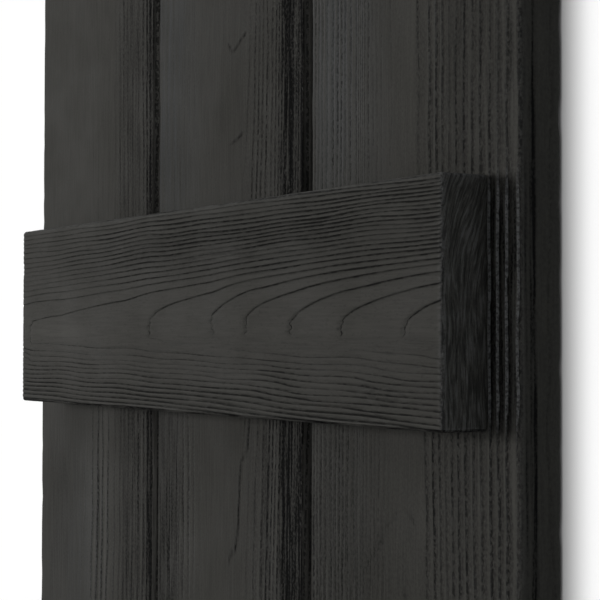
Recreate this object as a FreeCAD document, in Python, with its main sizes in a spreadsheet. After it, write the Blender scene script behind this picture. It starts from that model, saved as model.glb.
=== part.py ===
# Board and batten shutter: three upright boards joined edge to edge by tongue and groove,
# with a V joint on the front, held flat by two battens across their face.
# Frame: origin in the middle of the back face, +X to the right, +Z up, the front faces -Y.
import FreeCAD, Part
import os
import Sketcher

doc = FreeCAD.newDocument("board_and_batten_shutter")

# Driving dimensions in millimetres: name, size, what it measures
driving_sizes = [
    ("board_face", 139.7, "face width of one board, from joint to joint"),
    ("board_thickness", 17.5, "thickness of the boards"),
    ("board_height", 1219.2, "height of the boards"),
    ("board_edge_radius", 1.5, "rounding of the two outer edges, front and back"),
    ("joint_chamfer", 4.0, "leg of the chamfer on each side of a V joint"),
    ("joint_back_chamfer", 0.8, "leg of the eased corner behind a joint"),
    ("tongue_reach", 6.5, "how far a tongue stands out of its board"),
    ("tongue_thickness", 6.0, "thickness of a tongue"),
    ("tongue_tip_chamfer", 0.8, "leg of the chamfers that lead a tongue in"),
    ("groove_clearance", 0.2, "room on each face of a tongue in its groove"),
    ("groove_spare_depth", 0.8, "room between a tongue's tip and the groove's floor"),
    ("batten_width", 88.9, "width of a batten, up and down"),
    ("batten_thickness", 19.05, "thickness of a batten"),
    ("batten_side_inset", 19.05, "from the shutter's side to the end of a batten"),
    ("batten_end_distance", 228.6, "from the end of the boards to a batten's centre line"),
    ("batten_edge_radius", 1.6, "rounding of a batten's front edges and corners"),
]
sheet = doc.addObject("Spreadsheet::Sheet", "sizes")
for row, (name, size, meaning) in enumerate(driving_sizes, start=1):
    sheet.set(f"A{row}", meaning)
    sheet.set(f"B{row}", str(size))
    sheet.setAlias(f"B{row}", name)
doc.recompute()

# Expressions that several features share
half_face = "sizes.board_face / 2"
tongue_middle = "(sizes.board_thickness - sizes.joint_chamfer) / 2"  # middle of the joint's shoulder
half_tongue = "sizes.tongue_thickness / 2"
half_groove = f"({half_tongue} + sizes.groove_clearance)"
batten_length = "3 * sizes.board_face - 2 * sizes.batten_side_inset"

sketch_origin = (-1, 1)  # the sketch's own origin, as geometry and point number


def add_rectangle(body, name, plane_role, left, right, low, high):
    """Sketch a rectangle on one of the body's planes, its sides set by four expressions."""
    sketch = body.newObject("Sketcher::SketchObject", name)
    plane = next(p for p in body.Origin.OriginFeatures if p.Role == plane_role)
    sketch.AttachmentSupport = [(plane, "")]
    sketch.MapMode = "FlatFace"
    corners = [FreeCAD.Vector(x, y, 0) for x, y in ((-1, -1), (1, -1), (1, 1), (-1, 1))]
    for side in range(4):
        sketch.addGeometry(Part.LineSegment(corners[side], corners[(side + 1) % 4]))
    for side in range(4):
        sketch.addConstraint(Sketcher.Constraint("Coincident", side, 2, (side + 1) % 4, 1))
        direction = "Horizontal" if side % 2 == 0 else "Vertical"
        sketch.addConstraint(Sketcher.Constraint(direction, side))
    low_left = (0, 1)
    high_right = (2, 1)
    for kind, corner, expression in (("DistanceX", low_left, left), ("DistanceY", low_left, low),
                                     ("DistanceX", high_right, right), ("DistanceY", high_right, high)):
        start = corners[0] if corner == low_left else corners[2]
        measured = start.x if kind == "DistanceX" else start.y
        index = sketch.addConstraint(Sketcher.Constraint(kind, *sketch_origin, *corner, measured))
        sketch.setExpression(f"Constraints[{index}]", expression)
    return sketch


def run_full_height(body, kind, name, sketch):
    """Pad or pocket a cross-section along the whole height of a board."""
    feature = body.newObject(kind, name)
    feature.Profile = sketch
    feature.SideType = "Symmetric"
    feature.setExpression("Length", "sizes.board_height")
    doc.recompute()
    return feature


def upright_edges(feature, x, y):
    """Names of the edges that run up the board at one corner of its cross-section."""
    names = []
    for number, edge in enumerate(feature.Shape.Edges, start=1):
        ends = [vertex.Point for vertex in edge.Vertexes]
        if all(point.isEqual(FreeCAD.Vector(x, y, point.z), 1e-4) for point in ends):
            names.append(f"Edge{number}")
    return names


def ease_edges(body, kind, name, edge_names, size_property, expression):
    """Chamfer or fillet edges of the body's last feature."""
    base = body.Tip
    feature = body.newObject(kind, name)
    feature.Base = (base, edge_names)
    feature.setExpression(size_property, expression)
    doc.recompute()
    return feature


def make_board(label, steps_right, has_groove, has_tongue):
    """One board: a groove in its left edge or a tongue on its right one where a neighbour joins it."""
    body = doc.addObject("PartDesign::Body", label)
    section = add_rectangle(body, f"{label}_section", "XY_Plane",
                            f"-{half_face}", half_face, "-sizes.board_thickness", "0")
    run_full_height(body, "PartDesign::Pad", f"{label}_plank", section)
    if has_tongue:
        tongue = add_rectangle(body, f"{label}_tongue_section", "XY_Plane",
                               half_face, f"{half_face} + sizes.tongue_reach",
                               f"-{tongue_middle} - {half_tongue}", f"-{tongue_middle} + {half_tongue}")
        run_full_height(body, "PartDesign::Pad", f"{label}_tongue", tongue)
    if has_groove:
        groove = add_rectangle(body, f"{label}_groove_section", "XY_Plane",
                               f"-{half_face}",
                               f"-{half_face} + sizes.tongue_reach + sizes.groove_spare_depth",
                               f"-{tongue_middle} - {half_groove}", f"-{tongue_middle} + {half_groove}")
        run_full_height(body, "PartDesign::Pocket", f"{label}_groove", groove)

    # Joints get a V on the front and an eased corner behind, and outer edges are rounded
    side = sheet.board_face / 2
    front = -sheet.board_thickness
    back = 0
    joint_sides = [x for x, joined in ((-side, has_groove), (side, has_tongue)) if joined]
    outer_sides = [x for x, joined in ((-side, has_groove), (side, has_tongue)) if not joined]

    def edges_at(sides, *depths):
        return [edge for x in sides for y in depths for edge in upright_edges(body.Tip, x, y)]

    ease_edges(body, "PartDesign::Chamfer", f"{label}_v_joint",
               edges_at(joint_sides, front), "Size", "sizes.joint_chamfer")
    ease_edges(body, "PartDesign::Chamfer", f"{label}_back_corner",
               edges_at(joint_sides, back), "Size", "sizes.joint_back_chamfer")
    if has_tongue:
        tip = side + sheet.tongue_reach
        middle = -(sheet.board_thickness - sheet.joint_chamfer) / 2
        half = sheet.tongue_thickness / 2
        ease_edges(body, "PartDesign::Chamfer", f"{label}_tongue_tip",
                   edges_at([tip], middle - half, middle + half), "Size", "sizes.tongue_tip_chamfer")
    if outer_sides:
        ease_edges(body, "PartDesign::Fillet", f"{label}_outer_edges",
                   edges_at(outer_sides, front, back), "Radius", "sizes.board_edge_radius")
    body.setExpression("Placement.Base.x", f"{steps_right} * sizes.board_face")
    return body


def make_batten(label, height_expression):
    """One batten, flat on the boards' front, with its front edges and end corners rounded."""
    body = doc.addObject("PartDesign::Body", label)
    outline = add_rectangle(body, f"{label}_outline", "XZ_Plane",
                            f"-({batten_length}) / 2", f"({batten_length}) / 2",
                            "-sizes.batten_width / 2", "sizes.batten_width / 2")
    plank = body.newObject("PartDesign::Pad", f"{label}_plank")
    plank.Profile = outline
    plank.setExpression("Length", "sizes.batten_thickness")
    doc.recompute()
    showing = []
    for number, edge in enumerate(plank.Shape.Edges, start=1):
        if edge.BoundBox.YMin < -sheet.batten_thickness / 2:  # all but the edges against the boards
            showing.append(f"Edge{number}")
    ease_edges(body, "PartDesign::Fillet", f"{label}_eased_edges", showing,
               "Radius", "sizes.batten_edge_radius")
    body.setExpression("Placement.Base.y", "-sizes.board_thickness")
    body.setExpression("Placement.Base.z", height_expression)
    return body


batten_height = "(sizes.board_height / 2 - sizes.batten_end_distance)"
sub_parts = [
    make_board("left_board", -1, has_groove=False, has_tongue=True),
    make_board("middle_board", 0, has_groove=True, has_tongue=True),
    make_board("right_board", 1, has_groove=True, has_tongue=False),
    make_batten("top_batten", batten_height),
    make_batten("bottom_batten", f"-{batten_height}"),
]
doc.recompute()

# Nothing is written unless every feature came out whole
for item in doc.Objects:
    if "Invalid" in item.State or "Error" in item.State:
        raise RuntimeError(f"{item.Label} failed: {item.State}")
for sub_part in sub_parts:
    if sub_part.Shape.isNull() or not sub_part.Shape.isValid() or len(sub_part.Shape.Solids) != 1:
        raise RuntimeError(f"{sub_part.Label} is not one valid solid")

os.makedirs("parts", exist_ok=True)
for sub_part in sub_parts:
    sub_part.Shape.exportStep(f"parts/{sub_part.Label}.step")
    box = sub_part.Shape.BoundBox
    print(f"{sub_part.Label}: {box.XLength:.2f} x {box.YLength:.2f} x {box.ZLength:.2f} mm, "
          f"{sub_part.Shape.Volume:.0f} mm3")
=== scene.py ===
import math

import bmesh
import bpy
import numpy as np
from mathutils import Matrix, Vector


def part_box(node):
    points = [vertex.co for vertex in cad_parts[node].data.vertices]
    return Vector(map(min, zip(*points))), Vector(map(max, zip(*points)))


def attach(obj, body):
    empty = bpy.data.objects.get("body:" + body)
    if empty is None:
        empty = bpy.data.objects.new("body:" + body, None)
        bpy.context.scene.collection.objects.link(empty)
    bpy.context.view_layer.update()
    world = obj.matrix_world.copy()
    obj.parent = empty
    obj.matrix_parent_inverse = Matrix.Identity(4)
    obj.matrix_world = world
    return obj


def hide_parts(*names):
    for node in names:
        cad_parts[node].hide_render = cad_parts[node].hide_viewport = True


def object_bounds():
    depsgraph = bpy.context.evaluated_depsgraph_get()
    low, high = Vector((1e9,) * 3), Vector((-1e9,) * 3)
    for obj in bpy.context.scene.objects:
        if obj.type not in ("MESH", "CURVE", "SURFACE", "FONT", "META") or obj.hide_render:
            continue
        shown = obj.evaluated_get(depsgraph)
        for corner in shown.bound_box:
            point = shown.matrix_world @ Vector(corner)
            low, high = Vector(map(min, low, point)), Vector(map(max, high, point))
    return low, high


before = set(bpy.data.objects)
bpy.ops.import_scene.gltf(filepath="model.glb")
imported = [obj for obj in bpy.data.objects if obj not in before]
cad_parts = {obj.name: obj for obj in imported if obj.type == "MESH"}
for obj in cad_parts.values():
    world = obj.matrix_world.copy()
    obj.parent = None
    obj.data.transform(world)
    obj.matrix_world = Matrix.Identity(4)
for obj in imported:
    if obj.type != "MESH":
        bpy.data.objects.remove(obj)        # the boards and battens stay, as meshes in cad_parts
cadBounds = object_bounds()
mm = 0.001
small = 0.05 * mm        # a vertex this close to a face lies on it
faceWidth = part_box("right_board")[1].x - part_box("right_board")[0].x      # this board has no tongue
print("frame loaded:", sorted(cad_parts))


# smooth uneven drift of about -1 to 1: crossed waves, with their shortest lengths along x, y and z in metres
def crossedWaves(points, lengths, seed, count=7):
    draw = np.random.default_rng(seed)
    total = np.zeros(len(points))
    for _ in range(count):
        turns = draw.uniform(-1, 1, 3) / np.array(lengths)
        total += np.sin(2 * np.pi * (points @ turns + draw.uniform()))
    return total / math.sqrt(count)


def smoothStep(values, low, high):
    share = np.clip((values - low) / (high - low), 0, 1)
    return share * share * (3 - 2 * share)


# a soft hump: 1 in its middle, falling away over its half width
def hump(values, middle, half):
    return np.exp(-((values - middle) / half) ** 2)


# a distance that starts gently and then runs on evenly
def eased(distance, ease):
    return distance - ease * (1 - np.exp(-distance / ease))


# straight lines between knots, each a place and the value there
def betweenKnots(values, knots):
    knotPlaces, knotValues = zip(*knots)
    return np.interp(values, knotPlaces, knotValues)


# a copy of a node's mesh with its doubles merged and its flat faces whole
def wholeFaces(node):
    bm = bmesh.new()
    bm.from_mesh(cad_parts[node].data)
    bmesh.ops.remove_doubles(bm, verts=bm.verts, dist=1e-6)
    bmesh.ops.dissolve_limit(bm, angle_limit=math.radians(0.5), verts=bm.verts, edges=bm.edges)
    return bm


# cuts across one axis, through the faces that wanted() picks
def cutAcross(bm, axis, places, wanted=None):
    normal = Vector([float(i == axis) for i in range(3)])
    faces = [f for f in bm.faces if wanted is None or wanted(f)]
    edges = {e for f in faces for e in f.edges}
    verts = {v for f in faces for v in f.verts}
    geom = [*verts, *edges, *faces]
    for place in places:
        cut = bmesh.ops.bisect_plane(bm, geom=geom, dist=1e-7, plane_co=normal * place, plane_no=normal)
        geom = cut["geom"]


# splits the long edges that run along one axis
def cutAlong(bm, axis, pieces):
    along = [e for e in bm.edges if abs((e.verts[1].co - e.verts[0].co).normalized()[axis]) > 0.999
             and e.calc_length() > 100 * mm]
    bmesh.ops.subdivide_edges(bm, edges=along, cuts=pieces - 1, use_grid_fill=True)


def evenPlaces(low, high, pitch):
    count = max(1, round((high - low) / pitch))
    return [low + (high - low) * (i + 0.5) / count for i in range(count)]


def readVerts(bm):
    bm.normal_update()
    bm.verts.ensure_lookup_table()
    places = np.array([v.co for v in bm.verts])
    normals = np.array([v.normal for v in bm.verts])
    return places, normals


# ledges at the growth rings: where vertices snap, in shares of the pitch between them, and how rings wear
ledge = {"closest": 2.6, "furthest": 40, "beside": 1.5, "steady": 0.6, "topAt": -0.06, "footAt": 0.4,
         "footShift": 0.85, "probe": 0.05 * mm, "widestGap": 40 * mm, "longestRise": 0.65, "lip": 0.02,
         "meanWear": 0.72, "wearSpread": 0.28, "wearTurn": 12.9898}


# moves the vertices beside a growth ring's edge onto it, so that each ledge is crisp
def snapToRings(places, rings, axis, pitch, moving):
    along = np.eye(3)[axis]
    probe = ledge["probe"] * along
    slope = (rings(places + probe) - rings(places - probe)) / (2 * ledge["probe"])
    spacing = 1 / np.maximum(np.abs(slope), 1e-6)
    ring = rings(places)
    past = (ring - np.round(ring)) * spacing          # distance past the nearest ring's edge
    beside = ledge["beside"] * pitch * along
    ahead = (rings(places + beside) - ring) / slope
    behind = (ring - rings(places - beside)) / slope
    steady = np.minimum(ahead, behind) > ledge["steady"] * pitch       # the rings don't turn back beside it
    apart = (spacing > ledge["closest"] * pitch) & (spacing < ledge["furthest"] * pitch)
    loose = moving & steady & apart
    top = loose & (np.abs(past) <= 0.5 * pitch)
    foot = loose & (past > 0.5 * pitch) & (past <= 1.5 * pitch)
    shift = np.zeros(len(places))
    shift[top] = ledge["topAt"] * pitch - past[top]
    shift[foot] = np.maximum(ledge["footAt"] * pitch - past[foot], -ledge["footShift"] * pitch)
    places[:, axis] += np.sign(slope) * shift
    return spacing


# distance from one ring's edge to the next along the surface
def ringGap(places, normals, rings):
    probes = ledge["probe"] * np.eye(3)
    slope = np.stack([rings(places + probe) - rings(places - probe) for probe in probes], axis=1)
    slope = slope / (2 * ledge["probe"])
    slope = slope - normals * np.sum(slope * normals, axis=1, keepdims=True)
    return 1 / np.maximum(np.linalg.norm(slope, axis=1), 1 / ledge["widestGap"])


# how far the worn wood lies below its ridges: deepest past a ring's edge, level on its hard side
def wornDepth(ring, gap, rise):
    number = np.floor(ring)
    share = np.minimum(rise / gap, ledge["longestRise"])
    uneven = ledge["meanWear"] + ledge["wearSpread"] * np.sin(ledge["wearTurn"] * number)    # ring by ring
    return (1 - smoothStep((ring - number) / share, ledge["lip"], 1.0)) * uneven


# distance to the nearest edge of a plank: the second of its distances to sides, faces and ends
def toNearestEdge(toSides, toFaces, toEnds):
    return np.maximum(np.sort(np.stack([toSides, toFaces, toEnds]), axis=0)[1], 0)


def chippedDepth(places, nearest, chips, seed):
    strong = smoothStep(crossedWaves(places, chips["waves"], seed, 9), *chips["from"])
    return chips["depth"] * strong * np.exp(-nearest / chips["reach"])


def addObject(name, data):
    added = bpy.data.objects.new(name, data)
    bpy.context.scene.collection.objects.link(added)
    return added


# an object at the origin, with its place in its mesh
def addMesh(name, bm, material):
    mesh = bpy.data.meshes.new(name)
    bm.to_mesh(mesh)
    bm.free()
    mesh.materials.append(material)
    return addObject(name, mesh)


def triangleCount(mesh):
    return sum(len(p.vertices) - 2 for p in mesh.polygons)


def makePiece(name, bm, places, values, material, node):
    for vert, place in zip(bm.verts, places):
        vert.co = place
    bm.normal_update()
    for face in bm.faces:
        face.smooth = True
    piece = addMesh(name, bm, material)
    mesh = piece.data
    mesh.set_sharp_from_angle(angle=math.radians(40))
    for label, value in values.items():
        mesh.attributes.new(label, "FLOAT", "POINT").data.foreach_set("value", value.astype(np.float32))
    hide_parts(node)
    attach(piece, "root")
    print(name, "has", triangleCount(mesh), "triangles")


# nodes of a shader tree, with values or links for their inputs
def addNode(tree, kind, inputs=None, **settings):
    node = tree.nodes.new(kind)
    for key, value in settings.items():
        setattr(node, key, value)
    for key, value in (inputs or {}).items():
        if isinstance(value, bpy.types.NodeSocket):
            tree.links.new(value, node.inputs[key])
        else:
            node.inputs[key].default_value = value
    return node


def calc(tree, operation, a, b=0.0):
    return addNode(tree, "ShaderNodeMath", {0: a, 1: b}, operation=operation).outputs[0]


def remap(tree, value, fromLow, fromHigh, low, high):
    given = {"Value": value, "From Min": fromLow, "From Max": fromHigh, "To Min": low, "To Max": high}
    return addNode(tree, "ShaderNodeMapRange", given, interpolation_type="SMOOTHSTEP").outputs["Result"]


def noise(tree, vector, scale, detail=3.0, rough=0.55):
    given = {"Vector": vector, "Scale": scale, "Detail": detail, "Roughness": rough}
    return addNode(tree, "ShaderNodeTexNoise", given).outputs["Fac"]


# the mix node's color sockets have no names of their own, so they go by number
def blend(tree, share, a, b):
    return addNode(tree, "ShaderNodeMix", {0: share, 6: a, 7: b}, data_type="RGBA").outputs[2]


# black stain over raised grain: grooves past each ring's edge, pale crests as painted highlight, fibres,
# blotches, rubbed corners with painted highlight, a cool painted sheen and painted shade
def stainedGrainGroup():
    tree = bpy.data.node_groups.new("stainedGrain", "ShaderNodeTree")
    sockets = {
        "NodeSocketVector": ("Place", "Fibre", "Chatter"),
        "NodeSocketFloat": ("Ring", "Gap", "Worn", "Cool", "Shade", "Wear And Highlight", "End Grain", "Crest", "Pale",
                            "Groove Width", "Ledge Width", "Groove Dark", "Between Pits", "Chatter Share",
                            "Ridge Pale", "Dash Dark", "Sheen"),
        "NodeSocketColor": ("Stain", "Cool Sheen", "Wear And Glint Tone", "Pale Stain And Highlight", "Dark Stain And Shade"),
    }
    for kind, names in sockets.items():
        for name in names:
            tree.interface.new_socket(name, in_out="INPUT", socket_type=kind)
    tree.interface.new_socket("Color", in_out="OUTPUT", socket_type="NodeSocketColor")
    for name in ("Roughness", "Specular", "Height"):
        tree.interface.new_socket(name, in_out="OUTPUT", socket_type="NodeSocketFloat")
    given = addNode(tree, "NodeGroupInput").outputs

    def times(a, b):
        return calc(tree, "MULTIPLY", a, b)

    def smaller(a, b):
        return calc(tree, "MINIMUM", a, b)

    def larger(a, b):
        return calc(tree, "MAXIMUM", a, b)

    def ramp(value, fromLow, fromHigh, low=0.0, high=1.0):
        return remap(tree, value, fromLow, fromHigh, low, high)

    def grainNoise(place, scale, detail=1.0, rough=0.55):
        return noise(tree, given[place], scale, detail, rough)

    # darkens toward one dark tone, used for stain and grooves and for painted shade alike
    def darkened(tone, share):
        return blend(tree, share, tone, given["Dark Stain And Shade"])

    # grooves, dotted and broken along their length
    phase = calc(tree, "FRACT", given["Ring"])
    toEdge = calc(tree, "SUBTRACT", 1.0, phase)
    thin = calc(tree, "DIVIDE", given["Ledge Width"], given["Gap"])
    width = times(given["Groove Width"], ramp(given["Worn"], 0.0, 1.4, 0.6, 1.4))
    reach = smaller(calc(tree, "DIVIDE", width, given["Gap"]), 0.55)
    past = ramp(phase, times(reach, 0.3), reach, 1.0, 0.0)
    before = ramp(toEdge, 0.0, times(thin, 0.4), 1.0, 0.0)
    ringTone = addNode(tree, "ShaderNodeTexWhiteNoise", {"W": calc(tree, "FLOOR", given["Ring"])},
                       noise_dimensions="1D").outputs["Value"]
    pits = ramp(grainNoise("Chatter", 720), 0.42, 0.58, given["Between Pits"], 1.35)
    dashes = ramp(grainNoise("Fibre", 190), 0.32, 0.6, 0.45, 1.1)
    groove = times(larger(past, before), ramp(ringTone, 0.0, 1.0, 0.7, 1.0))
    groove = times(groove, times(pits, dashes))
    groove = smaller(times(groove, given["Worn"]), 1.0)

    # painted highlights on the crests of the ledges, and the flat ridges between the grooves, paler with the
    # crests
    beads = ramp(grainNoise("Place", 800), 0.36, 0.62, 0.35, 1.0)
    crestBefore = ramp(toEdge, thin, times(thin, 2.0), 1.0, 0.0)
    crestPast = ramp(phase, thin, times(thin, 1.6), 1.0, 0.0)
    crest = times(times(larger(crestBefore, crestPast), beads), given["Crest"])
    ridge = times(ramp(phase, reach, calc(tree, "ADD", reach, 0.25)), ramp(toEdge, 0.0, 0.12))
    ridge = times(ridge, smaller(given["Worn"], 1.0))

    # fibres, streaks and blotches, and wood roughened by the weather
    fibre = grainNoise("Fibre", 1100, 3.0, 0.6)
    fineStreak = grainNoise("Fibre", 620, 2.0, 0.6)
    streak = grainNoise("Fibre", 330, 2.0, 0.6)
    blotch = grainNoise("Place", 26, 3.0)
    speckle = grainNoise("Chatter", 1100)
    chatter = grainNoise("Chatter", 860)
    shade = times(given["Shade"], ramp(fineStreak, 0.36, 0.64, 1.35, 0.4))
    shade = times(shade, ramp(chatter, 0.4, 0.6, 0.75, 1.2))
    roughened = smaller(times(given["Worn"], given["Chatter Share"]), 1.0)
    roughened = times(roughened, ramp(ridge, 0.0, 1.0, 1.0, 0.25))
    roughened = larger(roughened, ramp(given["Worn"], 1.2, 1.8))
    roughened = larger(roughened, times(given["End Grain"], 0.2))

    # end grain is streaked along its rings
    apart = addNode(tree, "ShaderNodeSeparateXYZ", {"Vector": given["Place"]}).outputs
    run = times(calc(tree, "ADD", apart["X"], apart["Z"]), 80)
    endPlace = addNode(tree, "ShaderNodeCombineXYZ", {"X": times(given["Ring"], 1.7), "Y": run}).outputs[0]
    endNoise = noise(tree, endPlace, 1.0, 3.0, 0.65)
    endDark = times(ramp(endNoise, 0.47, 0.62, 0.0, 0.7), given["End Grain"])
    endPale = times(ramp(endNoise, 0.5, 0.36, 0.0, 0.2), given["End Grain"])

    # dark marks first, then the pale ones over them
    # a cool, paler tint: painted sheen standing in for a bluish reflection
    cool = times(given["Cool"], ramp(streak, 0.35, 0.62, 0.35, 1.0))
    tone = blend(tree, cool, given["Stain"], given["Cool Sheen"])
    tone = darkened(tone, ramp(blotch, 0.3, 0.6, 0.12, 0.0))
    tone = darkened(tone, ramp(fibre, 0.35, 0.65, 0.22, 0.0))
    tone = darkened(tone, shade)
    tone = darkened(tone, ramp(grainNoise("Chatter", 1300), 0.58, 0.7, 0.0, given["Dash Dark"]))
    tone = darkened(tone, times(ramp(chatter, 0.48, 0.62, 0.0, 0.45), roughened))
    tone = darkened(tone, times(groove, given["Groove Dark"]))
    pale = times(given["Pale"], ramp(fineStreak, 0.36, 0.64, 0.5, 1.15))
    pale = times(pale, ramp(groove, 0.2, 0.8, 1.0, 0.35))
    ridgeWorth = calc(tree, "ADD", given["Ridge Pale"], times(smaller(given["Crest"], 0.2), 0.9))
    paleRidge = times(ridge, times(ridgeWorth, calc(tree, "SUBTRACT", 1.0, shade)))
    tone = blend(tree, larger(pale, paleRidge), tone, given["Pale Stain And Highlight"])
    # pale from wear on edges, and painted highlights: crests, lift rims and glints on the battens' edges; flecks
    # and end grain streaks too
    wearAndHighlight = times(given["Wear And Highlight"], ramp(speckle, 0.4, 0.6, 0.12, 0.36))
    flecks = times(ramp(chatter, 0.42, 0.3, 0.0, 0.06), roughened)
    wearAndHighlight = larger(larger(wearAndHighlight, flecks), larger(crest, endPale))
    tone = blend(tree, wearAndHighlight, tone, given["Wear And Glint Tone"])
    tone = darkened(tone, endDark)

    rough = calc(tree, "ADD", ramp(blotch, 0.3, 0.7, 0.7, 0.8), times(groove, 0.15))
    height = calc(tree, "SUBTRACT", times(fibre, 0.3), times(groove, 0.7))
    height = calc(tree, "ADD", height, times(speckle, 0.12))
    # less sheen in grooves and dark bands: painted shade on the reflections there
    dull = smaller(calc(tree, "ADD", times(groove, 0.5), shade), 1.0)
    sheen = times(given["Sheen"], calc(tree, "SUBTRACT", 1.0, dull))
    addNode(tree, "NodeGroupOutput", {"Color": tone, "Roughness": rough, "Specular": sheen, "Height": height})
    return tree


# values that each carved piece carries on its vertices, and the group's inputs for them
carvedValues = {"ring": "Ring", "gap": "Gap", "worn": "Worn", "cool": "Cool", "shade": "Shade",
                "wearAndHighlight": "Wear And Highlight", "endGrain": "End Grain", "crest": "Crest", "pale": "Pale"}


def stainedWood(name, group, look):
    material = bpy.data.materials.new(name)
    material.use_nodes = True
    tree = material.node_tree
    place = addNode(tree, "ShaderNodeTexCoord").outputs["Object"]
    given = {"Place": place, **look["grain"]}
    for key, scale in (("Fibre", look["fibreScale"]), ("Chatter", look["chatterScale"])):
        given[key] = addNode(tree, "ShaderNodeMapping", {"Vector": place, "Scale": scale}).outputs[0]
    for label, key in carvedValues.items():
        given[key] = addNode(tree, "ShaderNodeAttribute", attribute_name=label).outputs["Fac"]
    grain = addNode(tree, "ShaderNodeGroup", given, node_tree=group).outputs
    raised = {"Height": grain["Height"], "Strength": look["bump"], "Distance": look["bumpDepth"]}
    bump = addNode(tree, "ShaderNodeBump", raised)
    shader = tree.nodes["Principled BSDF"]
    tree.links.new(grain["Color"], shader.inputs["Base Color"])
    tree.links.new(grain["Roughness"], shader.inputs["Roughness"])
    tree.links.new(grain["Specular"], shader.inputs["Specular IOR Level"])
    tree.links.new(bump.outputs["Normal"], shader.inputs["Normal"])
    return material


# stains, the tones of painted sheen, highlight and shade, and the sheen that boards and battens share, then what
# differs
sharedGrain = {
    "Cool Sheen": (0.0292, 0.0312, 0.0320, 1.0), "Wear And Glint Tone": (0.112, 0.115, 0.117, 1.0),
    "Pale Stain And Highlight": (0.107, 0.105, 0.098, 1.0), "Dark Stain And Shade": (0.0050, 0.0050, 0.0050, 1.0), "Sheen": 0.05,
}
boardLook = {
    "fibreScale": (1.0, 1.0, 0.05), "chatterScale": (1.0, 1.0, 0.85), "bump": 0.6, "bumpDepth": 0.45 * mm,
    "grain": {"Stain": (0.0246, 0.0243, 0.0215, 1.0), "Groove Width": 2.1 * mm, "Ledge Width": 0.35 * mm,
              "Groove Dark": 0.75, "Between Pits": 0.05, "Chatter Share": 1.3, "Ridge Pale": 0.045,
              "Dash Dark": 0.15, **sharedGrain},
}
battenLook = {
    "fibreScale": (0.05, 1.0, 1.0), "chatterScale": (0.3, 1.0, 1.0), "bump": 0.6, "bumpDepth": 0.45 * mm,
    "grain": {"Stain": (0.0271, 0.0268, 0.0242, 1.0), "Groove Width": 0.58 * mm, "Ledge Width": 0.16 * mm,
              "Groove Dark": 0.85, "Between Pits": 0.55, "Chatter Share": 0.0, "Ridge Pale": 0.02,
              "Dash Dark": 0.24, **sharedGrain},
}
grainGroup = stainedGrainGroup()
boardWood = stainedWood("blackStainedBoard", grainGroup, boardLook)
battenWood = stainedWood("blackStainedBatten", grainGroup, battenLook)
print("stained wood ready")


# what a grain setting is at each place: knots across the board, then oval patches, all in millimetres
def settingAt(places, knots, patches):
    x, z = places[:, 0] / mm, places[:, 2] / mm
    value = betweenKnots(x, knots)
    for patchX, patchZ, halfX, halfZ, extra in patches:
        value = value + extra * hump(x, patchX, halfX) * hump(z, patchZ, halfZ)
    return np.clip(value, 0, 1.5)
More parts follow.
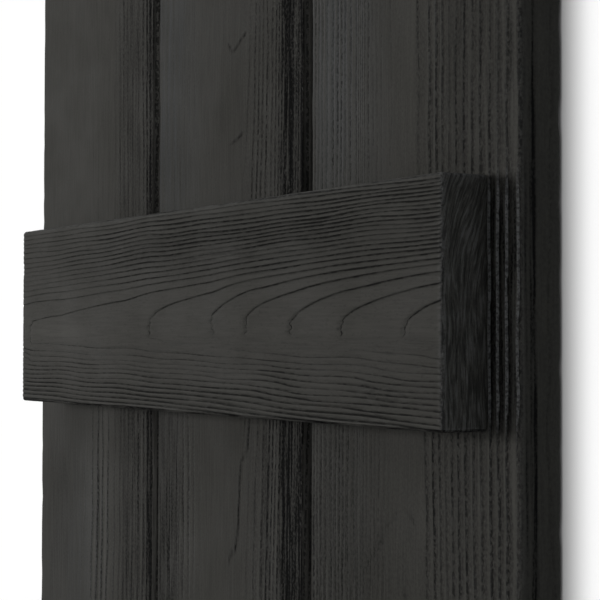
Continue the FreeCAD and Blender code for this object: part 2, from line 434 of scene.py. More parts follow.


# boards: heart of the tree behind each face, with arches where its depth changes along the board. In
# millimetres: knots are (x, value), patches (x, z, half width, half height, extra), lifts lines of (x, z)
# The broad shade patches near z 250 to 290 darken each board just below the top batten, partly as painted shade
# there.
boardGrain = {
    "left_board": {
        "seed": 11, "heartX": -168, "heartDepth": 48, "heave": 5, "heaveLength": 900, "heaveZ": 620,
        "ringWidth": [(-140, 4.4)], "moreRings": [(0, 0)], "ringAt": (400, 0.5),
        "relief": 0.7, "jointDark": 0.0, "jointPale": 0.6, "lifts": [],
        "lines": [(-205, 0.05), (-118, 0.08), (-108, 0.5), (-90, 0.7), (-78, 1.0), (-73, 1.4)],
        "linesPatches": [(-132, 270, 17, 60, 0.9), (-150, -250, 25, 120, 0.4)],
        "shade": [(-118, 0.0), (-108, 0.2), (-99, 0.36), (-90, 0.36), (-84, 0.25), (-79, 0.35), (-77, 0.8),
                  (-73, 0.7)],
        "shadePatches": [(-175, 280, 16, 60, 0.15), (-192, 270, 14, 80, 0.16), (-135, 270, 3.5, 70, 0.22),
                         (-119, 270, 2, 60, 0.12), (-95, 290, 20, 60, 0.06)],
        "palePatches": [(-147, 270, 6, 70, 0.05), (-125, 270, 3, 70, 0.08)],
        "cool": [(-200, 0.1), (-120, 0.0)], "coolPatches": [(-150, 265, 25, 50, 0.5)],
        "crest": [(-205, 0.0), (-80, 0.05)], "crestPatches": [(-134, 270, 20, 60, 0.2)],
    },
    "middle_board": {
        "seed": 23, "heartX": 8.5, "heartDepth": 36, "heave": -4, "heaveLength": 760, "heaveZ": 390,
        "ringWidth": [(-20, 4.6), (10, 2.2)], "moreRings": [(0, 0)], "ringAt": (455.3, 0.0),
        "relief": 0.4, "jointDark": 0.0, "jointPale": 0.2,
        "lifts": [([(17.1, 500.9), (10.9, 497.1), (6.3, 494.2), (2.6, 498.3)], 1.0),
                  ([(14.7, 457.8), (10.2, 455.7), (5.7, 454.4)], 1.0),
                  ([(21.8, 334), (20.1, 322), (14.8, 316), (13, 308), (13, 299), (12.3, 288.5), (10.5, 280),
                    (4.2, 273)], 1.2)],
        "lines": [(-66, 0.18), (-30, 0.15), (-24, 0.05), (14, 0.06), (20, 0.35), (32, 0.5), (44, 0.7),
                  (51, 1.2), (66, 1.5)],
        "linesPatches": [(38, 285, 14, 55, 0.4), (-40, 290, 16, 50, 0.4)],
        "shade": [(-30, 0.0), (-20, 0.06), (10, 0.12), (41, 0.12), (46, 0.25), (49.5, 0.6), (51, 1.0),
                  (57.5, 1.0), (59, 0.5), (62.5, 0.5), (64, 1.1), (66, 1.0)],
        "shadePatches": [(-58, 280, 22, 70, 0.52), (-52, 280, 5, 70, 0.12), (27.5, 290, 3, 70, 0.12),
                         (36, 290, 4, 70, 0.25), (44.5, 290, 3, 70, -0.25), (55, 280, 12, 70, 0.2),
                         (-20, -330, 40, 150, 0.2)],
        "palePatches": [],
        "cool": [(-70, 0.15), (-20, 0.0)],
        "coolPatches": [(-58, 500, 28, 110, 0.8), (-55, -60, 25, 160, 0.6)],
        "crest": [(-66, 0.0), (20, 0.0), (66, 0.05)],
        "crestPatches": [(-40, 285, 16, 55, 0.15), (36, 285, 12, 55, 0.05)],
    },
    "right_board": {
        "seed": 37, "heartX": 141, "heartDepth": 20, "heave": 3.5, "heaveLength": 744, "heaveZ": 304,
        "ringWidth": [(108, 3.0), (128, 5.27)], "moreRings": [(153, 0), (187, 3)], "ringAt": (304, 0.25),
        "relief": 0.4, "jointDark": 0.3, "jointPale": 0.0,
        "lifts": [([(114.7, 281.8), (125.7, 293.5), (129.8, 299.1), (137.1, 304.6), (141, 305.3),
                    (146.2, 301)], 0.5)],
        # the strip beside the batten's end, in its shadow: deeper relief, painted shadow, and painted highlights
        # on its crests
        "battenShadowStrip": {"x": 199, "halfX": 14, "deep": 1.2 * mm, "lines": 0.2, "shade": 0.5, "crest": 0.9},
        "lines": [(72, 0.55), (110, 0.5), (119, 0.25), (150, 0.28), (156, 0.75), (186, 0.85), (191, 1.0),
                  (207, 0.95)],
        "linesPatches": [(143, 500, 6, 70, 1.4), (185, 280, 30, 60, 0.15), (185, 520, 40, 80, -0.35)],
        "shade": [(150, 0.0), (175, 0.15), (209, 0.2)],
        "shadePatches": [(95, 270, 34, 70, 0.37), (150, 250, 60, 70, 0.08), (182, 520, 30, 80, 0.2)],
        "palePatches": [],
        "cool": [(70, 0.15), (120, 0.0)], "coolPatches": [(92, 500, 26, 110, 0.8), (95, -120, 25, 150, 0.5)],
        "crest": [(72, 0.06), (112, 0.06), (118, 0.0), (154, 0.02), (186, 0.06), (209, 0.1)],
        "crestPatches": [(92, 500, 24, 100, 0.06), (159, 520, 7, 90, 0.12)],
    },
}
boardRelief = {
    "facePitch": 0.8 * mm, "backPitch": 1.6 * mm, "edgePitch": 1.5 * mm, "lengthPieces": 262,
    "faceDepth": 0.6 * mm, "backDepth": 0.3 * mm, "edgeDepth": 0.12 * mm, "endDepth": 0.25 * mm,
    "backLines": 0.8, "edgeLines": 0.3, "rise": 2.8 * mm, "clearFrom": (1.5 * mm, 3 * mm),
    "ringUneven": 0.22, "unevenEvery": 5.3, "lean": 1.5 * mm, "drift": 0.14, "jag": 0.05, "patchy": 0.25,
    "jointChamfer": 4 * mm, "backCorner": 0.8 * mm, "grooveDepth": 8 * mm, "faceMargin": 1 * mm,
    "backMargin": (1.5 * mm, 5 * mm), "shadowStripZ": (46 * mm, 37 * mm), "jointPaleFrom": (0.05, 0.3),
    "rub": 0.5, "rubWidth": 1.1 * mm, "edgeShade": 0.05,
    "leanWaves": (9, 9, 0.3), "driftWaves": (0.05, 0.05, 0.2), "jagWaves": (0.006, 0.006, 0.03),
    "patchyWaves": (0.02, 0.02, 0.15),
    "chips": {"depth": 0.8 * mm, "reach": 1.5 * mm, "from": (0.0, 1.8), "waves": (0.02, 0.02, 0.012)},
}
noBattenShadowStrip = {"x": 0, "halfX": 1, "deep": 0, "lines": 0, "shade": 0, "crest": 0}


# screws from behind: two to each crossing of a board and a batten, on a slant, with countersunk heads
screwLook = {"slantX": 35 * mm, "slantZ": 22 * mm, "sides": 48, "below": 0.2 * mm, "headRadius": 3.6 * mm,
             "shankRadius": 1.7 * mm, "headDepth": 2.2 * mm, "seatRoom": 0.2 * mm, "patch": 6 * mm,
             "rim": 0.2 * mm, "driveRadius": 1.75 * mm, "lobes": 6, "lobe": 0.16, "driveDepth": 1.3 * mm,
             "darkZinc": (0.24, 0.24, 0.235, 1.0), "paleZinc": (0.36, 0.36, 0.35, 1.0), "rough": (0.5, 0.38)}


def screwPlaces(node):
    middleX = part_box(node)[0].x + faceWidth / 2
    places = []
    for batten in ("top_batten", "bottom_batten"):
        middleZ = (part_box(batten)[0].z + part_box(batten)[1].z) / 2
        for side in (-1, 1):
            places.append((middleX + side * screwLook["slantX"], middleZ + side * screwLook["slantZ"]))
    return places


def facingBack(x, y, z):
    return Matrix.Translation((x, y, z)) @ Matrix.Rotation(math.radians(-90), 4, "X")


def nearScrew(face, x, z, reach):
    middle = face.calc_center_median()
    return abs(middle.x - x) < reach and abs(middle.z - z) < reach


# a cone-shaped seat for each screw's head, sunk into the back of a board
def cutSeats(bm, node, backY):
    mouthRadius = screwLook["headRadius"] + screwLook["seatRoom"]
    narrow = (screwLook["shankRadius"] + screwLook["seatRoom"]) / mouthRadius
    deep = screwLook["headDepth"] + 2 * screwLook["below"]
    for x, z in screwPlaces(node):
        patch = [f for f in bm.faces if nearScrew(f, x, z, screwLook["patch"])
                 and f.calc_center_median().y > backY - small]
        bmesh.ops.delete(bm, geom=patch, context="FACES")
        edge = [e for e in bm.edges if e.is_boundary]
        mouth = bmesh.ops.create_circle(bm, cap_ends=False, segments=screwLook["sides"], radius=mouthRadius,
                                        matrix=facingBack(x, backY, z))["verts"]
        mouthEdges = list(dict.fromkeys(e for v in mouth for e in v.link_edges))
        bmesh.ops.triangle_fill(bm, use_beauty=True, edges=edge + mouthEdges, normal=(0, 1, 0))
        sunk = bmesh.ops.extrude_edge_only(bm, edges=mouthEdges)["geom"]
        bottom = [v for v in sunk if isinstance(v, bmesh.types.BMVert)]
        bmesh.ops.scale(bm, vec=(narrow, 1, narrow), verts=bottom, space=Matrix.Translation((-x, 0, -z)))
        bmesh.ops.translate(bm, vec=(0, -deep, 0), verts=bottom)
        rim = [e for e in sunk if isinstance(e, bmesh.types.BMEdge) and e.is_boundary]
        bmesh.ops.contextual_create(bm, geom=rim)
    bmesh.ops.recalc_face_normals(bm, faces=bm.faces)


# dark cracks along the outer edges: (millimetres behind the face, strength), leaning a little along the board
crackLook = {"cracks": [(5.6, 2.0), (4.1, 0.6), (1.9, 0.6)], "half": 0.6, "cuts": (1.2, 8.4, 0.6),
             "depth": 0.25 * mm, "lean": 0.0075, "levelZ": 400, "fade": 0.7, "fadeZ": (435 * mm, 475 * mm)}


def edgeCracks(behindFace, z):
    level = behindFace / mm - crackLook["lean"] * (crackLook["levelZ"] - np.abs(z) / mm)
    crack = sum(dark * hump(level, behind, crackLook["half"]) for behind, dark in crackLook["cracks"])
    return crack * (1 - crackLook["fade"] * smoothStep(np.abs(z), *crackLook["fadeZ"]))


# lifted edges of the grain: lower wood and a dark line of painted shade on one side, a pale rim of painted
# highlight on the other, in millimetres
liftLook = {"margin": 3, "finestPitch": 0.6, "pieces": 24, "deep": 0.25 * mm, "deepReach": 2,
            "dark": 0.45, "darkAt": 0.3, "darkHalf": 0.9, "pale": 0.1, "paleAt": 1.2, "paleHalf": 0.6}


# distance in millimetres to a line drawn on a board's face, and -1 where a place is on its lower right
def toLine(x, z, line):
    nearest = np.full(len(x), np.inf)
    side = np.zeros(len(x))
    for (startX, startZ), (stopX, stopZ) in zip(line, line[1:]):
        run, rise = stopX - startX, stopZ - startZ
        share = np.clip(((x - startX) * run + (z - startZ) * rise) / (run ** 2 + rise ** 2), 0, 1)
        away = np.hypot(x - startX - share * run, z - startZ - share * rise)
        side = np.where(away < nearest, np.sign((x - startX) * rise - (z - startZ) * run), side)
        nearest = np.minimum(nearest, away)
    return nearest, side


# closer cuts around a lifted edge
def cutLift(bm, line):
    lineX, lineZ = zip(*line)
    leftX, rightX = min(lineX) - liftLook["margin"], max(lineX) + liftLook["margin"]
    lowZ, highZ = min(lineZ) - liftLook["margin"], max(lineZ) + liftLook["margin"]
    pitch = max(liftLook["finestPitch"], (highZ - lowZ) / liftLook["pieces"])

    def around(face):
        middle = face.calc_center_median()
        return face.normal.y < -0.99 and leftX < middle.x / mm < rightX and lowZ < middle.z / mm < highZ

    cutAcross(bm, 2, np.arange(lowZ, highZ, pitch) * mm, around)


def liftedGrain(lifts, x, z):
    deep, dark, pale = np.zeros((3, len(x)))
    for line, strength in lifts:
        away, side = toLine(x / mm, z / mm, line)
        deep = deep + (side < 0) * liftLook["deep"] * strength * np.exp(-away / liftLook["deepReach"])
        shadeLine = hump(away * -side, liftLook["darkAt"], liftLook["darkHalf"])
        litRim = hump(away * side, liftLook["paleAt"], liftLook["paleHalf"])
        dark = np.maximum(dark, liftLook["dark"] * strength * shadeLine)
        pale = np.maximum(pale, liftLook["pale"] * strength * litRim)
    return np.array([deep, dark, pale])


def boardRings(grain, frontY):
    def heartRings(x, y, z):
        rise = grain["heave"] * np.sin(2 * np.pi * (z / mm - grain["heaveZ"]) / grain["heaveLength"])
        deep = (grain["heartDepth"] + rise) * mm + (y - frontY)
        width = betweenKnots(x / mm, grain["ringWidth"]) * mm
        ring = np.hypot(x - grain["heartX"] * mm, deep) / width
        turn = 2 * np.pi * ring / boardRelief["unevenEvery"] + grain["seed"]
        return ring + boardRelief["ringUneven"] * np.sin(turn) + betweenKnots(x / mm, grain["moreRings"])

    tipZ, tipRing = grain["ringAt"]
    offset = tipRing - heartRings(grain["heartX"] * mm, frontY, tipZ * mm)

    def rings(places):
        x, y, z = places.T
        seed = grain["seed"]
        lean = crossedWaves(places, boardRelief["leanWaves"], seed, 4) * boardRelief["lean"]
        ring = heartRings(x - lean, y, z) + offset
        ring = ring + boardRelief["drift"] * crossedWaves(places, boardRelief["driftWaves"], seed + 1)
        return ring + boardRelief["jag"] * crossedWaves(places, boardRelief["jagWaves"], seed + 2, 9)
    return rings


def cutBoard(node, grain):
    low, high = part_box(node)
    pitch = boardRelief["backPitch"]
    across = evenPlaces(low.x, low.x + faceWidth, pitch)
    bm = wholeFaces(node)
    cutAcross(bm, 1, evenPlaces(low.y, high.y, boardRelief["edgePitch"]))
    cutAcross(bm, 1, low.y + np.arange(*crackLook["cuts"]) * mm)
    cutAcross(bm, 0, across)
    between = [x + pitch / 2 for x in across[:-1]]
    cutAcross(bm, 0, between, lambda f: f.calc_center_median().y < low.y + small)      # the front only
    cutAlong(bm, 2, boardRelief["lengthPieces"])
    for line, _ in grain["lifts"]:
        cutLift(bm, line)
    cutSeats(bm, node, high.y)
    return bm


def makeBoard(node):
    grain = boardGrain[node]
    seed = grain["seed"]
    low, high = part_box(node)
    faceLeft, faceRight = low.x, low.x + faceWidth
    joinedLeft = node != "left_board"
    joinedRight = node != "right_board"
    chamfer = boardRelief["jointChamfer"]
    bm = cutBoard(node, grain)
    places, normals = readVerts(bm)
    x, y, z = places.T.copy()
    rings = boardRings(grain, low.y)

    # which side of the board each vertex is on
    front = y < low.y + small
    back = y > high.y - small
    ends = (z < low.z + small) | (z > high.z - small)
    facing = front | (normals[:, 1] < -0.3)
    inDepth = (y > low.y + chamfer - small) & (y < high.y - boardRelief["backCorner"] + small)
    inGroove = joinedLeft & (x < faceLeft + boardRelief["grooveDepth"])
    onTongue = joinedRight & (x > faceRight - small)
    inJoint = inDepth & (inGroove | onTongue)
    sides = ~inJoint & (np.abs(normals[:, 0]) > 0.5) & ~front & ~back
    chamferLeft = facing & ~front & joinedLeft & (x < faceLeft + chamfer)
    chamferRight = facing & ~front & joinedRight & (x > faceRight - chamfer)
    inset = (faceRight - faceLeft) / 2 - chamfer - boardRelief["faceMargin"]
    openFace = front & ~ends & (np.abs(x - (faceLeft + faceRight) / 2) < inset)

    # raised grain on the face, bolder in the strip beside a batten's end where its shadow falls, and less of it
    # elsewhere
    spacing = snapToRings(places, rings, 0, boardRelief["facePitch"], openFace)
    ring = rings(places)
    gap = ringGap(places, normals, rings)
    patchy = 1 + boardRelief["patchy"] * crossedWaves(places, boardRelief["patchyWaves"], seed + 4)
    worn = settingAt(places, grain["lines"], grain["linesPatches"]) * patchy
    worn = np.where(facing, worn, np.where(back, boardRelief["backLines"], boardRelief["edgeLines"]))
    clear = smoothStep(spacing, *boardRelief["clearFrom"])
    depth = np.where(facing, boardRelief["faceDepth"] * grain["relief"] * worn * clear, 0)
    # the strip beside each batten's end, where its shadow falls; further down it gets painted shadow and painted
    # highlights on its crests
    spot = grain.get("battenShadowStrip", noBattenShadowStrip)
    battenZ = (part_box("top_batten")[0].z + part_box("top_batten")[1].z) / 2
    battenShadowStrip = smoothStep(np.abs(np.abs(z) - battenZ), *boardRelief["shadowStripZ"]) * facing
    battenShadowStrip = battenShadowStrip * hump(x / mm, spot["x"], spot["halfX"])
    depth = depth + spot["deep"] * battenShadowStrip * clear
    worn = worn + spot["lines"] * battenShadowStrip
    backShare = smoothStep(np.minimum(x - faceLeft, faceRight - x), *boardRelief["backMargin"])
    depth = np.where(back, boardRelief["backDepth"] * backShare, depth)
    depth = np.where(sides, boardRelief["edgeDepth"], depth)
    depth = np.where(ends, boardRelief["endDepth"], depth)
    depth = depth * wornDepth(ring, gap, boardRelief["rise"])
    crack = edgeCracks(y - low.y, z)
    depth = depth + np.where(sides, crackLook["depth"] * crack, 0)
    liftDeep, liftShade, liftHighlight = liftedGrain(grain["lifts"], x, z) * front
    depth = depth + liftDeep

    # outer edges that hands and weather have rubbed and chipped
    toLeft = np.where(joinedLeft, np.inf, np.abs(x - faceLeft))
    toRight = np.where(joinedRight, np.inf, np.abs(faceRight - x))
    toFaces = np.minimum(y - low.y, high.y - y)
    toEnds = np.minimum(z - low.z, high.z - z)
    nearest = toNearestEdge(np.minimum(toLeft, toRight), toFaces, toEnds)
    depth = depth + chippedDepth(places, nearest, boardRelief["chips"], seed + 7)
    depth[inJoint & ~ends] = 0
    places -= normals * depth[:, None]

    # darker in bands by the joints and in patches, in the joints and along cracks; painted shade on the low side
    # of each lift and in the strip where a batten casts its shadow
    def onFace(setting):
        return np.where(facing, settingAt(places, grain[setting], grain[setting + "Patches"]), 0)

    # painted shade: the dark side of each lift, and the batten's shadow over the strip beside its end
    shade = onFace("shade") + liftShade + spot["shade"] * battenShadowStrip
    shade = np.where(chamferLeft | chamferRight, np.maximum(shade, grain["jointDark"]), shade)
    shade = np.where(sides, boardRelief["edgeShade"] + crack, shade)
    downChamfer = np.clip((y - low.y) / chamfer, 0, 1)
    jointPale = grain["jointPale"] * smoothStep(downChamfer, *boardRelief["jointPaleFrom"])
    facePale = np.where(front, settingAt(places, [(0, 0)], grain["palePatches"]), 0)
    values = {
        "ring": ring, "gap": gap, "worn": worn, "shade": shade,
        # pale along the outer edges from wear, with the lifts' pale rims as painted highlight
        "wearAndHighlight": boardRelief["rub"] * np.exp(-nearest / boardRelief["rubWidth"]) + liftHighlight,
        "pale": np.where(chamferRight, jointPale, facePale),
        # painted sheen: where the cool tint goes
        "cool": onFace("cool"),
        # painted highlights on the crests, strongest in the batten's shadow strip
        "crest": onFace("crest") + spot["crest"] * battenShadowStrip,
        "endGrain": (np.abs(normals[:, 2]) > 0.6).astype(float),
    }
    makePiece(node + "_wood", bm, places, values, boardWood, node)


# battens: arches that point left, with a tip where the count of rings along the axis passes a whole number.
# Knots are (share of the length, value), or (millimetres above the middle, value) for linesUp
battenGrain = {
    "tips": [(0.03, 0.0), (0.037, -0.05), (0.064, -0.07), (0.14, -0.15), (0.22, -0.35), (0.335, -0.65),
             (0.397, -1.0), (0.557, -2.0), (0.633, -3.0), (0.733, -4.0), (0.83, -5.0), (0.939, -6.0),
             (1.02, -6.8)],
    "closedEnd": [(-0.02, 3.6), (0.0, 1.8), (0.03, 0.0)], "closedAbove": 9 * mm, "closedBelow": 18 * mm,
    "axisLeft": -9.0 * mm, "axisRight": -11.0 * mm,
    "archReach": [(0.0, 15.5), (0.2, 17), (0.4, 18), (1.0, 14.8)], "archPower": [(0.3, 3.3), (1.0, 2.4)],
    "archTop": 1.35, "archEase": 7 * mm, "linesPerMm": [(0.0, 0.4), (1.0, 0.7)],
    "belowFrom": 5, "belowEase": 3, "belowPerMm": 0.46, "belowTips": 0.6, "belowTipsFrom": (1.5 * mm, 7 * mm),
    "linesUp": [(-44, 1.3), (-34, 1.2), (-25, 0.9), (-16, 0.8), (-9, 0.9), (0, 0.85), (20, 1.0), (37, 1.1),
                (44, 0.8)],
    "linesAlong": [(0.0, 0.9), (0.15, 0.75), (0.3, 0.95), (0.6, 1.0), (0.85, 1.12), (1.0, 1.15)],
    "quietUnder": {"from": (-0.5 * mm, 1.5 * mm), "shares": (0.25, 0.5), "wide": 0.4, "near": 0.42,
                   "wideTo": (20 * mm, 9 * mm), "nearTo": (8 * mm, 5 * mm)},
    "quietCorner": {"share": 0.45, "shares": (0.3, 0.1), "up": (4 * mm, 15 * mm)},
    "darkPatch": (0.55, 26, 0.32, 10, 0.28),       # stain gathered in close lines
    # a painted highlight on the smooth wood inside the first arch
    "highlightPatch": (0.12, -8, 0.12, 7, 0.13),        # smooth wood in the first arch
    # painted shade on the battens' downward faces, and painted highlights on the ring crests of the face and
    # ends
    "underShade": 0.7, "faceCrest": 0.02, "endCrest": 0.05,
    "endRing": 1.9 * mm, "endBend": 5.3, "endDrift": 0.3, "endLines": 0.5,
}
battenRelief = {
    "facePitch": 0.42 * mm, "edgePitch": 1.5 * mm, "lengthPieces": 250, "edgeMargin": 2.2 * mm,
    "faceDepth": 0.6 * mm, "edgeDepth": 0.2 * mm, "endDepth": 0.25 * mm, "rise": 1.8 * mm,
    "clearFrom": (0.8 * mm, 1.5 * mm), "drift": 0.4 * mm, "jag": 0.16 * mm, "swayAlong": 5, "patchy": 0.2,
    "rubWidth": 0.9 * mm, "endGlint": 1.2, "endGlintWidth": 3 * mm,
    "driftWaves": (0.06, 0.03, 0.014), "jagWaves": (0.08, 0.006, 0.0024), "patchyWaves": (0.06, 0.03, 0.01),
    "endWaves": (0.05, 0.01, 0.02),
    "chips": {"depth": 0.4 * mm, "reach": 1.5 * mm, "from": (0.3, 1.8), "waves": (0.012, 0.02, 0.012)},
}


# how far along a batten each place is, and how far above its middle, the turned one from its other end
def alongAndUp(places, low, high, turned):
    share = (places[:, 0] - low.x) / (high.x - low.x)
    up = places[:, 2] - (low.z + high.z) / 2
    return (1 - share, -up) if turned else (share, up)


# height above the line through the tips of the arches
def aboveAxis(share, up):
    return up - battenGrain["axisLeft"] - share * (battenGrain["axisRight"] - battenGrain["axisLeft"])


def battenRings(low, high, turned, seed):
    def rings(places):
        share, up = alongAndUp(places, low, high, turned)
        sway = battenRelief["drift"] * crossedWaves(places, battenRelief["driftWaves"], seed)
        sway = sway + battenRelief["jag"] * crossedWaves(places, battenRelief["jagWaves"], seed + 1, 9)
        off = aboveAxis(share, up) + sway
        share = share + battenRelief["swayAlong"] * sway / (high.x - low.x)
        closedUp = hump(np.maximum(off, 0), 0, battenGrain["closedAbove"])
        closedDown = hump(np.minimum(off, 0), 0, battenGrain["closedBelow"])
        along = betweenKnots(share, battenGrain["tips"])
        along = along + closedUp * closedDown * betweenKnots(share, battenGrain["closedEnd"])
        along = along * (1 - battenGrain["belowTips"] * smoothStep(-off, *battenGrain["belowTipsFrom"]))

        # above the axis arches run out into close lines, and below it even lines follow
        reach = betweenKnots(share, battenGrain["archReach"]) * mm
        power = betweenKnots(share, battenGrain["archPower"])
        close = betweenKnots(share, battenGrain["linesPerMm"]) / mm
        top = battenGrain["archTop"]
        wide = power * top ** (power - 1) / reach
        beyond = np.maximum(off - top * reach, 0)
        above = np.clip(off / reach, 0, top) ** power + wide * beyond
        above = above + (close - wide) * eased(beyond, battenGrain["archEase"])
        past = np.maximum(-off / mm - battenGrain["belowFrom"], 0)
        below = battenGrain["belowPerMm"] * eased(past, battenGrain["belowEase"])
        return -along - np.where(off > 0, above, below)
    return rings


# how worn a batten's lines are: quiet just under the axis and in the upper left corner
def battenWorn(share, up):
    worn = betweenKnots(up / mm, battenGrain["linesUp"]) * betweenKnots(share, battenGrain["linesAlong"])
    under = -aboveAxis(share, up)
    quiet = battenGrain["quietUnder"]
    fade = quiet["wide"] * smoothStep(under, *quiet["wideTo"])
    fade = fade + quiet["near"] * smoothStep(under, *quiet["nearTo"])
    fade = smoothStep(under, *quiet["from"]) * fade
    worn = worn * (1 - smoothStep(share, *quiet["shares"]) * fade)
    corner = battenGrain["quietCorner"]
    return worn * (1 - corner["share"] * smoothStep(share, *corner["shares"]) * smoothStep(up, *corner["up"]))


def battenPatch(share, up, patch):
    middleShare, middleUp, halfShare, halfUp, extra = patch
    return extra * hump(share, middleShare, halfShare) * hump(up / mm, middleUp, halfUp)


def makeBatten(node, turned, seed):
    low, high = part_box(node)

    def showing(face):       # all but the back, against the boards
        return face.calc_center_median().y < high.y - small

    bm = wholeFaces(node)
    cutAcross(bm, 1, evenPlaces(low.y, high.y, battenRelief["edgePitch"]), showing)
    cutAcross(bm, 2, evenPlaces(low.z, high.z, battenRelief["facePitch"]), showing)
    cutAlong(bm, 0, battenRelief["lengthPieces"])
    places, normals = readVerts(bm)
    x, y, z = places.T.copy()
    share, up = alongAndUp(places, low, high, turned)
    rings = battenRings(low, high, turned, seed)

    # which side of the batten each vertex is on
    front = y < low.y + small
    back = y > high.y - small
    ends = np.abs(normals[:, 0]) > 0.6
    underside = normals[:, 2] < -0.35
    toSides = np.minimum(x - low.x, high.x - x)
    toEdges = np.minimum(z - low.z, high.z - z)
    openFace = front & (toEdges > battenRelief["edgeMargin"])

    # raised grain, with rings of their own on the ends
    spacing = snapToRings(places, rings, 2, battenRelief["facePitch"], openFace)
    patchy = 1 + battenRelief["patchy"] * crossedWaves(places, battenRelief["patchyWaves"], seed + 2)
    worn = battenWorn(share, up) * patchy
    endRing = (y - low.y - battenGrain["endBend"] * np.maximum(up, 0) ** 2) / battenGrain["endRing"]
    endRing = endRing + battenGrain["endDrift"] * crossedWaves(places, battenRelief["endWaves"], seed + 3)
    ring = np.where(ends, endRing, rings(places))
    gap = np.where(ends, battenGrain["endRing"], ringGap(places, normals, rings))
    faceDepth = battenRelief["faceDepth"] * worn * smoothStep(spacing, *battenRelief["clearFrom"])
    depth = np.where(normals[:, 1] < -0.5, faceDepth, battenRelief["edgeDepth"])
    depth = np.where(ends, battenRelief["endDepth"], depth)
    depth = depth * wornDepth(ring, gap, battenRelief["rise"])
    nearest = toNearestEdge(toSides, y - low.y, toEdges)
    depth = depth + chippedDepth(places, nearest, battenRelief["chips"], seed + 7)
    depth[back] = 0
    places -= normals * depth[:, None]

    dark = np.where(ends, 0, battenPatch(share, up, battenGrain["darkPatch"]))
    # pale along the edges: wear, and painted highlight where they catch the light, so none on the downward faces
    # and painted glints along the end arrises
    wearAndHighlight = np.exp(-nearest / battenRelief["rubWidth"]) * ~underside
    wearAndHighlight = wearAndHighlight * (1 + battenRelief["endGlint"] * (toSides < battenRelief["endGlintWidth"]))
    values = {
        "ring": ring, "gap": gap, "worn": np.where(ends, battenGrain["endLines"], worn),
        "shade": np.where(underside, battenGrain["underShade"], dark),
        "wearAndHighlight": wearAndHighlight, "cool": np.zeros(len(places)),
        "pale": np.where(ends, 0, battenPatch(share, up, battenGrain["highlightPatch"])),
        "crest": np.where(ends, battenGrain["endCrest"], battenGrain["faceCrest"]),
        "endGrain": ends.astype(float),
    }
    makePiece(node + "_wood", bm, places, values, battenWood, node)


for node in boardGrain:
    makeBoard(node)
makeBatten("top_batten", False, 5)
makeBatten("bottom_batten", True, 8)
print("boards and battens carved")


def zincSteel():
    material = bpy.data.materials.new("dullZinc")
    material.use_nodes = True
    tree = material.node_tree
    shader = tree.nodes["Principled BSDF"]
    place = addNode(tree, "ShaderNodeTexCoord").outputs["Object"]
    cloud = noise(tree, place, 700, 2.0)
    share = remap(tree, cloud, 0.35, 0.65, 0.0, 1.0)
    tone = blend(tree, share, screwLook["darkZinc"], screwLook["paleZinc"])
    tree.links.new(tone, shader.inputs["Base Color"])
    tree.links.new(remap(tree, cloud, 0.35, 0.65, *screwLook["rough"]), shader.inputs["Roughness"])
    shader.inputs["Metallic"].default_value = 1.0
    return material


# one countersunk head with a six-lobed drive, just below a board's back
def addHead(bm, x, backY, z):
    middleY = backY - screwLook["below"] - screwLook["headDepth"] / 2
    head = bmesh.ops.create_cone(bm, cap_ends=True, segments=screwLook["sides"], depth=screwLook["headDepth"],
                                 radius1=screwLook["shankRadius"], radius2=screwLook["headRadius"],
                                 matrix=facingBack(x, middleY, z))["verts"]
    bm.normal_update()
    top = next(f for f in {f for v in head for f in v.link_faces} if f.normal.y > 0.9)
    bmesh.ops.bevel(bm, geom=list(top.edges), offset=screwLook["rim"], segments=2, profile=0.5,
                    affect="EDGES", material=-1)
    bm.normal_update()
    flat = [f for f in bm.faces if f.normal.y > 0.999 and nearScrew(f, x, z, 0.1 * mm)]
    top = max(flat, key=lambda f: f.calc_area())
    bmesh.ops.inset_individual(bm, faces=[top], thickness=screwLook["headRadius"] - screwLook["driveRadius"])
    for vert in top.verts:
        out = Vector((vert.co.x - x, 0, vert.co.z - z))
        lobes = 1 + screwLook["lobe"] * math.cos(screwLook["lobes"] * math.atan2(out.z, out.x))
        vert.co += out.normalized() * (screwLook["driveRadius"] * lobes) - out
    floor = bmesh.ops.extrude_discrete_faces(bm, faces=[top])["faces"][0]
    bmesh.ops.translate(bm, vec=(0, -screwLook["driveDepth"], 0), verts=floor.verts)


def makeScrews():
    bm = bmesh.new()
    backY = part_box("left_board")[1].y
    for node in boardGrain:
        for x, z in screwPlaces(node):
            addHead(bm, x, backY, z)
    bmesh.ops.recalc_face_normals(bm, faces=bm.faces)
    piece = addMesh("back_screws", bm, zincSteel())
    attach(piece, "root")
    print("screws have", triangleCount(piece.data), "triangles")


makeScrews()


# stage: a pale floor and a pale wall, each shown only from its front
stageLook = {"pale": (0.92, 0.92, 0.92, 1.0), "rough": 0.9, "size": 6.0, "wallGap": 0.4 * mm,
             "page": 1.02, "pageShare": 0.84, "contact": 15 * mm, "contactPower": 1.9}


def stagePlane(name, material, matrix):
    bm = bmesh.new()
    bmesh.ops.create_grid(bm, x_segments=1, y_segments=1, size=stageLook["size"] / 2, matrix=matrix)
    plane = addMesh(name, bm, material)
    return plane


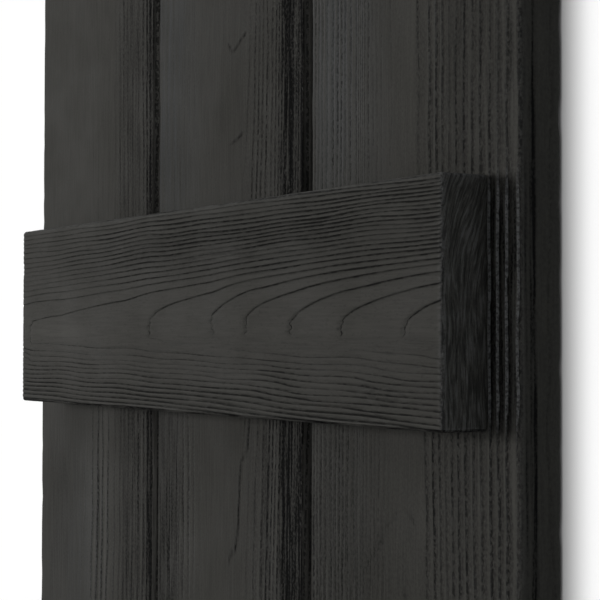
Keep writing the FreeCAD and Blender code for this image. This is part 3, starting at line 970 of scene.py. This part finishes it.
# a bright page to the camera, with a short soft shadow where the boards touch it
def paleStage(name):
    material = bpy.data.materials.new(name)
    material.use_nodes = True
    tree = material.node_tree
    shader = tree.nodes["Principled BSDF"]
    shader.inputs["Base Color"].default_value = stageLook["pale"]
    shader.inputs["Roughness"].default_value = stageLook["rough"]
    shader.inputs["Specular IOR Level"].default_value = 0.0
    openness = addNode(tree, "ShaderNodeAmbientOcclusion", {"Distance": stageLook["contact"]}, samples=16)
    bright = calc(tree, "POWER", openness.outputs["AO"], stageLook["contactPower"])
    glow = calc(tree, "MULTIPLY", bright, stageLook["page"])
    page = addNode(tree, "ShaderNodeEmission", {"Strength": glow}).outputs[0]
    seen = addNode(tree, "ShaderNodeLightPath").outputs["Is Camera Ray"]
    share = calc(tree, "MULTIPLY", seen, stageLook["pageShare"])
    lit = addNode(tree, "ShaderNodeMixShader", {0: share, 1: shader.outputs[0], 2: page}).outputs[0]
    seeThrough = addNode(tree, "ShaderNodeBsdfTransparent").outputs[0]
    behind = addNode(tree, "ShaderNodeNewGeometry").outputs["Backfacing"]
    either = addNode(tree, "ShaderNodeMixShader", {0: behind, 1: lit, 2: seeThrough})
    tree.links.new(either.outputs[0], tree.nodes["Material Output"].inputs["Surface"])
    return material


stagePlane("floor", paleStage("paleFloor"), Matrix.Translation((0, 0, cadBounds[0].z)))
wallTurn = Matrix.Translation((0, stageLook["wallGap"], 0)) @ Matrix.Rotation(math.radians(90), 4, "X")
wallPlane = stagePlane("wall", paleStage("paleWall"), wallTurn)
wallPlane.visible_shadow = False
wallPlane.visible_diffuse = False

# light: a soft key from the front left, a weaker one from above, a cool fill from the right, one for the
# back, and a grey surround that is seen as white
lights = {
    "key": {"from": (-0.71, -0.70, 0.08), "strength": 2.95, "soft": 14, "color": (1.0, 0.985, 0.965)},
    "top": {"from": (-0.3, -0.6, 0.75), "strength": 0.7, "soft": 40, "color": (1.0, 0.99, 0.98)},
    "fill": {"from": (1.0, 0.05, 0.12), "strength": 0.95, "soft": 50, "color": (0.93, 0.97, 1.0)},
    "behind": {"from": (-0.45, 0.85, 0.3), "strength": 2.2, "soft": 60, "color": (1.0, 1.0, 1.0)},
}
for name, settings in lights.items():
    lamp = bpy.data.lights.new(name, "SUN")
    lamp.energy = settings["strength"]
    lamp.angle = math.radians(settings["soft"])
    lamp.color = settings["color"]
    holder = addObject(name, lamp)
    holder.rotation_mode = "QUATERNION"
    holder.rotation_quaternion = Vector(settings["from"]).to_track_quat("Z", "Y")

surround = 0.12
world = bpy.data.worlds.new("surround")
bpy.context.scene.world = world
world.use_nodes = True
tree = world.node_tree
path = addNode(tree, "ShaderNodeLightPath").outputs
mirrored = calc(tree, "MAXIMUM", path["Is Glossy Ray"], path["Is Transmission Ray"])
seen = calc(tree, "MAXIMUM", path["Is Camera Ray"], mirrored)
background = tree.nodes["Background"]
tree.links.new(remap(tree, seen, 0.0, 1.0, surround, 1.0), background.inputs["Strength"])
background.inputs["Color"].default_value = (1.0, 1.0, 1.0, 1.0)

# camera: close to the upper batten, from its right, with its turns in degrees
cameraSetup = {"place": (673.55 * mm, -379.1 * mm, 366.7 * mm), "yaw": 59.313, "pitch": 1.443, "roll": 0.136,
               "focalPixels": 1740.8, "imagePixels": 600, "sensor": 36.0}
yaw, pitch, roll = (math.radians(cameraSetup[k]) for k in ("yaw", "pitch", "roll"))
forward = Vector((-math.sin(yaw) * math.cos(pitch), math.cos(yaw) * math.cos(pitch), math.sin(pitch)))
level = Vector((math.cos(yaw), math.sin(yaw), 0))
upright = level.cross(forward)
right = math.cos(roll) * level + math.sin(roll) * upright
above = -math.sin(roll) * level + math.cos(roll) * upright
turn = Matrix((right, above, -forward)).transposed().to_4x4()
lens = bpy.data.cameras.new("closeView")
lens.sensor_width = cameraSetup["sensor"]
lens.lens = cameraSetup["sensor"] * cameraSetup["focalPixels"] / cameraSetup["imagePixels"]
camera = addObject("closeView", lens)
camera.matrix_world = Matrix.Translation(cameraSetup["place"]) @ turn
bpy.context.scene.camera = camera
bpy.context.scene.view_settings.view_transform = "Standard"
print("stage, light and camera set")
